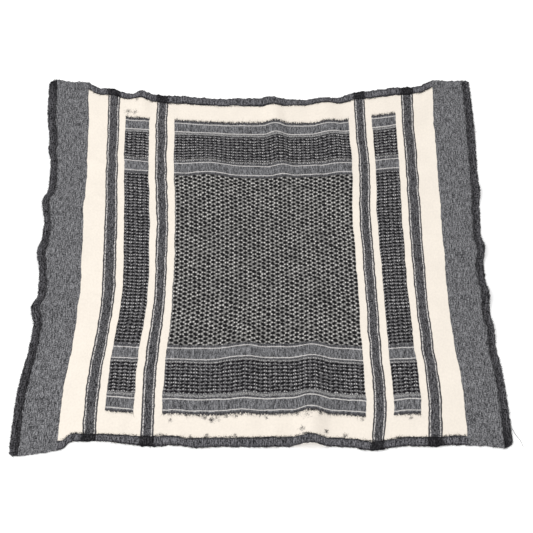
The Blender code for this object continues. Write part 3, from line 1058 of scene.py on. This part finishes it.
def make_weave(groups):
    """The whole weave in cloth coordinates: colour and height."""
    tree, given, result = new_group(
        "scarf_weave", {"Place": None, "Reversed": 0.0}, {"Color": "Color", "Height": "Float"})
    # The woven lines wander a little with the threads, but nap and streaks keep still
    still = given["Place"]
    wander = use(tree, groups["wander"], Place=still, Reach=0.0022, Grain=0.012)["Place"]
    place = use(tree, groups["wander"], Place=wander, Reach=0.0050, Grain=0.060)["Place"]
    u, v = split_place(tree, place)
    side = abs(u)
    end = abs(v)
    back = Field(tree, given["Reversed"])
    nap = use(tree, groups["nap"], Place=still)
    band_marl, panel_marl, slate = (
        use(tree, groups["marl"], Place=still, **yarn)
        for yarn in (BAND_YARN, PANEL_YARN, STRIPE_YARN)
    )

    # Areas
    soft = 0.0007
    in_centre = side.past(FIELD_SIDE, soft).rest()
    in_side = side.between(*SIDE_PANEL, soft)
    fray = noise(tree, still, FRAYED_ENDS, detail=3.0, roughness=0.7)
    ragged = end + (fray - 0.5) * 0.0160
    in_panel = (in_centre + in_side) * ragged.rise(PANEL_END - 0.0008, PANEL_END + 0.0012).rest()
    in_field = end.rise(FIELD_END, FIELD_END + 0.001).rest()
    far_more = v.rise(-0.01, 0.01) * FAR_TICKS_MORE
    in_ticks = end.past(TICKS[0], soft) * (end - far_more).past(TICKS[1], soft).rest()
    band = side.past(GROUND_SIDE, soft)
    stripes = side.between(*INNER_STRIPE, soft) + side.between(*OUTER_STRIPE, soft)

    # The net of the middle field, and the ticks of its end bands and of the side panels
    net = use(tree, groups["hooks"], Place=place)
    ticks = use(tree, groups["hooks"], Place=joined(tree, u, end), **END_TICKS)
    side_ticks = use(tree, groups["hooks"], Place=joined(tree, side, v), **SIDE_TICKS)

    def charted(chart, dark, light, knot):
        """Colours of one chart, with dark and light changed over on the wrong side."""
        floats = Field(tree, chart["Float"])
        floats = floats + back - floats * back * 2.0
        ground = blended(tree, chart["Knot"], light, knot)
        return blended(tree, floats, ground, dark)

    colour = panel_marl["Color"]
    floats_out = []
    for chart, area, tones in (
        (net, in_field * in_centre, NET_TONES),
        (ticks, in_ticks * (in_centre + in_side), TICK_TONES),
        (side_ticks, in_field * in_side, TICK_TONES),
    ):
        colour = blended(tree, area, colour, charted(chart, *tones))
        floats_out.append(Field(tree, chart["Float"]).rest() * area)

    # Lines across the panels. Single threads are missing here and there in the light ones.
    fleck = noise(tree, still, FLECKS, detail=1.0)
    broken = fleck.rise(0.28, 0.60)
    dark_lines = threads(end, DARK_LINES_END, 0.0008) * 0.55 + end.rise(*DARK_END) * 0.72
    light_lines = threads(end, LIGHT_LINES_END, 0.0005)
    wisps = noise(tree, still, WISPS, roughness=0.7)
    dashed = threads(end - far_more, DASHES_END, 0.0008) * wisps.rise(0.44, 0.60)
    colour = blended(tree, dark_lines, colour, LINE_DARK)
    shown = light_lines * (broken * 0.5 + 0.5) * (back * -0.7 + 1.0)
    colour = blended(tree, shown, colour, LINE_LIGHT)
    colour = blended(tree, dashed, colour, DASH_LIGHT)

    # Stripes between the panels, each with a light line between two dark ones at both edges
    from_inner, from_outer = (
        abs(side - (low + high) / 2.0) * -1.0 + (high - low) / 2.0
        for low, high in (INNER_STRIPE, OUTER_STRIPE)
    )
    from_edge = from_inner.math("MAXIMUM", from_outer)
    thin_light = from_edge.between(*STRIPE_LINE, 0.0005)
    thin_dark = from_edge.past(STRIPE_LINE[0], 0.0004).rest()
    gaps = noise(tree, still, THREAD_GAPS, detail=1.0)
    stripe = blended(tree, thin_dark * 0.6, slate["Color"], LINE_DARK)
    stripe = blended(tree, thin_light * (gaps.rise(0.38, 0.58) * 0.70 + 0.25), stripe, LINE_LIGHT)

    panel_or_band = (in_panel + band).math("MINIMUM", 1.0)
    colour_band = blended(tree, band, colour, band_marl["Color"])
    shade = Field(tree, nap["Tone"])
    # Lint of the dark floats, a grey haze on the cream just past the ends of the panels
    past_end = end.rise(PANEL_END, PANEL_END + 0.012).rest() * (in_centre + in_side)
    haze = past_end * wisps.rise(0.30, 0.75) * 0.22
    brightness = (shade - 0.5) * 0.24 + 1.0 - haze
    cream = add(tree, "HueSaturation", {"Color": CREAM, "Value": brightness})[0]
    whole = blended(tree, panel_or_band, cream, colour_band)
    whole = blended(tree, stripes, whole, stripe)
    feed(tree, whole, result["Color"])

    raised = sum_of(floats_out) + light_lines * in_panel + dashed * in_panel
    height = Field(tree, nap["Height"]) * 0.55 + raised * 0.45
    feed(tree, height + Field(tree, band_marl["Height"]) * 0.15, result["Height"])
    return tree


# How rough cloth and loose fibre are, and how deep their relief is felt, in metres
CLOTH_ROUGHNESS = 0.95
FIBRE_ROUGHNESS = 0.9
CLOTH_RELIEF = 0.0006
HEM_RELIEF = 0.0007
CLOTH_SHEEN = screen(235, 232, 228)
DARK_SHEEN = screen(200, 200, 205)


def new_material(name, roughness, tint):
    """A matt cloth, with its shader and the place on the cloth as a node output."""
    material = bpy.data.materials.new(name)
    material.use_nodes = True
    tree = material.node_tree
    shader = tree.nodes["Principled BSDF"]
    for label, value in (
        ("Roughness", roughness), ("Specular IOR Level", 0.12), ("Sheen Weight", 0.05),
        ("Sheen Roughness", 0.5), ("Sheen Tint", tint),
    ):
        shader.inputs[label].default_value = value
    return material, tree, shader, add(tree, "UVMap", {}, uv_map="cloth_metres")[0]


def bumped(tree, shader, height, distance):
    """Feeds a height into the shader's normal."""
    inputs = {"Strength": 1.0, "Distance": distance, "Height": height}
    feed(tree, add(tree, "Bump", inputs)[0], shader.inputs["Normal"])


def cloth_material(name, groups, reversed_side):
    """One face of the woven cloth."""
    material, tree, shader, place = new_material(name, CLOTH_ROUGHNESS, CLOTH_SHEEN)
    weave = use(tree, groups["weave"], Place=place, Reversed=reversed_side)
    feed(tree, weave["Color"], shader.inputs["Base Color"])
    bumped(tree, shader, weave["Height"], CLOTH_RELIEF)
    return material


def hem_material(name, groups, yarn, crossed):
    """A turned hem. An end hem is nearly black where the stripes run out over it, and over the
    side bands it has their tone."""
    material, tree, shader, place = new_material(name, CLOTH_ROUGHNESS, DARK_SHEEN)
    marl = use(tree, groups["marl"], Place=place, **yarn)
    nap = use(tree, groups["nap"], Place=place)
    u, v = split_place(tree, place)
    from_edge = (abs(v) if crossed else abs(u)) * -1.0 + HALF
    colour = marl["Color"]
    if crossed:
        ragged = noise(tree, place, RAGGED_STRIPES)
        side = abs(u) + (ragged - 0.5) * 0.012
        over_stripe = sum_of([
            side.between(low - 0.001, high + 0.002, 0.003)
            for low, high in (INNER_STRIPE, OUTER_STRIPE)
        ])
        worn = (ragged - 0.5) * 0.8 + 0.85
        colour = blended(tree, over_stripe * worn.math("MINIMUM", 1.0), colour, HEM_BLACK)
        # Painted shade: darker along the inner edge, under the step of the hem, and along the
        # rolled outer fold
        seam_shade = from_edge.rise(END_HEM - 0.0065, END_HEM - 0.001) * 0.75
        fold = from_edge.rise(0.0, 0.004).rest() * 0.55
        colour = blended(tree, (seam_shade + fold).math("MINIMUM", 1.0), colour, HEM_BLACK)
        band = abs(u).rise(GROUND_SIDE - 0.002, GROUND_SIDE + 0.001)
        same = use(tree, groups["marl"], Place=place, **BAND_YARN)
        colour = blended(tree, band, colour, same["Color"])
    else:
        # Painted shade: darker along the sewn groove and where the cloth bunches at two corners.
        # The left hem is also darker towards its near end.
        right = u.rise(-0.1, 0.1)
        left = right.rest()
        seam_shade = from_edge.rise(SIDE_HEM * 0.30, SIDE_HEM * 0.75) * 0.35
        bunched_shade = (right * v.rise(-0.545, -0.465).rest() + left * v.rise(0.470, 0.545)) * 0.50
        near_left_darker = left * v.rise(-0.36, -0.20).rest() * 0.20
        darker = (seam_shade + bunched_shade + near_left_darker).math("MINIMUM", 1.0)
        colour = blended(tree, darker, colour, HEM_BLACK)
    feed(tree, colour, shader.inputs["Base Color"])
    height = Field(tree, nap["Height"]) + Field(tree, marl["Height"]) * 0.4
    bumped(tree, shader, height, HEM_RELIEF)
    return material


def fibre_material(name, dark, light):
    """Loose fibre, a little different in tone from one to the next."""
    material, tree, shader, place = new_material(name, FIBRE_ROUGHNESS, DARK_SHEEN)
    tone = noise(tree, place, FIBRE_TONES, detail=1.0)
    feed(tree, blended(tree, tone.rise(0.3, 0.7), dark, light), shader.inputs["Base Color"])
    return material


def make_hems(groups):
    """Four turned hems. The side hems run the whole length, and the end hems lie between."""
    finishes = {
        "side_hem_cloth": hem_material("side_hem_cloth", groups, SIDE_HEM_YARN, False),
        "end_hem_cloth": hem_material("end_hem_cloth", groups, END_HEM_YARN, True),
    }
    hems = []
    for hem in HEMS:
        piece = make_hem(hem)
        piece.data.materials.append(finishes[hem.slot])
        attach(piece, "root")
        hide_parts(hem.node)
        hems.append(piece)
    return hems


def make_small_pieces():
    """Sewing and loose fibre."""
    dark = fibre_material("dark_fibre", screen(30, 29, 32), screen(62, 61, 64))
    grey = fibre_material("grey_fibre", screen(44, 44, 47), screen(96, 96, 99))
    thread = fibre_material("hem_thread", screen(34, 34, 37), screen(84, 84, 87))
    pieces = []
    for piece, finish, slot_name in (
        (make_stitches(), thread, "side_hem_cloth"),
        (make_edge_fuzz(), dark, "side_hem_cloth"),
        (make_hem_fuzz(), dark, "side_hem_cloth"),
        (make_panel_fringe(), dark, "woven_cloth"),
        (make_lint(), grey, "woven_cloth"),
        (make_loose_thread(), dark, "side_hem_cloth"),
    ):
        piece.data.materials.append(finish)
        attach(piece, "root")
        pieces.append(piece)
    return pieces


def make_groups():
    """The shared shader groups by name."""
    groups = {
        "wander": make_wander(), "marl": make_marl(), "nap": make_nap(), "hooks": make_hooks(),
    }
    groups["weave"] = make_weave(groups)
    return groups


# Studio

# Each lamp: its place, its width and its power
Lamp = namedtuple("Lamp", "name place width power")
LAMPS = (
    Lamp("key_light", (-2.0, -0.6, 2.6), 2.4, 33.0),
    Lamp("fill_light", (1.9, 1.2, 2.8), 2.8, 8.0),
)
AIR_STRENGTH = 0.86
PAPER_HALF = 40.0
PAPER_UNDER = 0.0004
PAPER_GLOW = 0.18


def make_camera():
    """The photo's camera, aimed at the cloth in its solid's place."""
    data = bpy.data.cameras.new("camera")
    data.sensor_fit = "HORIZONTAL"
    data.sensor_width = SENSOR
    data.lens = LENS
    camera = bpy.data.objects.new("camera", data)
    bpy.context.scene.collection.objects.link(camera)
    aim = Vector((CAMERA_AIM[0] + SHIFT[0], CAMERA_AIM[1] + SHIFT[1], 0.0))
    camera.matrix_world = (
        Matrix.Translation(aim)
        @ Matrix.Rotation(CAMERA_TURN, 4, "Z")
        @ Matrix.Rotation(math.radians(90.0) - CAMERA_RISE, 4, "X")
        @ Matrix.Rotation(CAMERA_ROLL, 4, "Z")
        @ Matrix.Translation((0.0, 0.0, CAMERA_AWAY))
    )
    bpy.context.scene.camera = camera


def make_studio():
    """Even white light all round, with a soft key from the left and a weaker fill."""
    scene = bpy.context.scene
    scene.view_settings.view_transform = "Standard"
    world = bpy.data.worlds.new("studio_air")
    world.use_nodes = True
    air = world.node_tree.nodes["Background"]
    air.inputs["Color"].default_value = (1.0, 1.0, 1.0, 1.0)
    air.inputs["Strength"].default_value = AIR_STRENGTH
    scene.world = world
    for lamp in LAMPS:
        data = bpy.data.lights.new(lamp.name, "AREA")
        data.size = lamp.width
        data.energy = lamp.power
        light = bpy.data.objects.new(lamp.name, data)
        light.location = lamp.place
        light.rotation_euler = Vector(lamp.place).to_track_quat("Z", "Y").to_euler()
        scene.collection.objects.link(light)


def make_floor():
    """White paper, lit through from below a little so that it stays white under the cloth."""
    corners = [
        (x * PAPER_HALF, y * PAPER_HALF, 0.0) for x, y in ((-1, -1), (1, -1), (1, 1), (-1, 1))
    ]
    floor = new_piece("floor", corners, [(0, 1, 2, 3)])
    floor.location.z = -PAPER_UNDER
    material = bpy.data.materials.new("white_paper")
    material.use_nodes = True
    shader = material.node_tree.nodes["Principled BSDF"]
    for label, value in (
        ("Base Color", screen(253, 253, 253)), ("Roughness", 0.9), ("Specular IOR Level", 0.1),
        ("Emission Color", (1.0, 1.0, 1.0, 1.0)), ("Emission Strength", PAPER_GLOW),
    ):
        shader.inputs[label].default_value = value
    floor.data.materials.append(material)


def main():
    make_camera()
    make_studio()
    make_floor()
    groups = make_groups()
    cloth = make_cloth()
    cloth.data.materials.append(cloth_material("woven_cloth", groups, 0.0))
    cloth.data.materials.append(cloth_material("woven_cloth_wrong_side", groups, 1.0))
    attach(cloth, "root")
    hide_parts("cloth")
    with_it = make_hems(groups) + make_small_pieces()


main()
